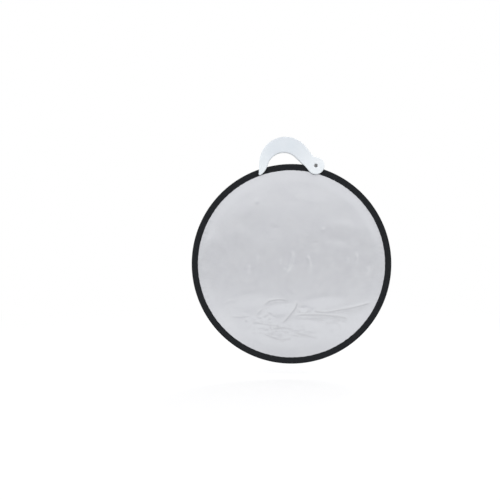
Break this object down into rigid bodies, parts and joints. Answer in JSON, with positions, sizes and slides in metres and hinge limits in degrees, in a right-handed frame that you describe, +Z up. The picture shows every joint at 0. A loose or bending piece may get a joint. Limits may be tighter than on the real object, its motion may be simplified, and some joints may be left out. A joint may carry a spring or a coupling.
{
  "type": "collapsible reflector disc",
  "caption": "Round two-sided light reflector: silver and white cloth on a spring hoop in a sewn rim, with a swinging crescent handle.",
  "frame": {"origin": "middle of the finger opening between the rim and the handle's arch, on the disc's upright centre line and in its middle plane", "axes": "the disc stands upright with its silver face towards -Y and its white face towards +Y; +Z runs up from the disc to the handle, +X to the right seen from the silver side"},
  "size_m": [0.6, 0.023, 0.6816],
  "materials": {
    "silver_cloth": "satin metallised cloth, softly creased",
    "white_cloth": "matt white cloth",
    "black_tape": "woven binding tape, stitched",
    "spring_steel": "tempered strip",
    "ferrule_metal": "crimped sheet",
    "saddle_plastic": "moulded, matt",
    "rivet_steel": "plated",
    "white_plastic": "moulded, satin gloss",
    "bright_steel": "bright plated",
    "sleeve_brass": "turned",
    "washer_nylon": "natural nylon",
    "pad_rubber": "matt"
  },
  "bodies": {
    "disc": {"spring_hoop": "spring_steel", "hoop_ferrule": "ferrule_metal", "silver_fabric": "silver_cloth", "white_fabric": "white_cloth", "rim_binding": "black_tape", "saddle_front": "saddle_plastic", "saddle_back": "saddle_plastic", "saddle_rivet_left": "rivet_steel", "saddle_rivet_right": "rivet_steel"},
    "handle": {"handle_front_shell": "white_plastic", "handle_back_shell": "white_plastic", "shell_screw_1": "bright_steel", "shell_screw_2": "bright_steel", "shell_screw_3": "bright_steel", "pivot_screw": "bright_steel", "pivot_nut": "bright_steel", "pivot_sleeve": "sleeve_brass", "friction_washer_front": "washer_nylon", "friction_washer_back": "washer_nylon", "tip_pad_front": "pad_rubber", "tip_pad_back": "pad_rubber"}
  },
  "joints": [
    {"name": "handle_swing", "type": "hinge", "parent": "disc", "child": "handle", "pos_m": [0.07262, 0, -0.01921], "axis": [0, 1, 0], "range_deg": [0, 100]}
  ]
}
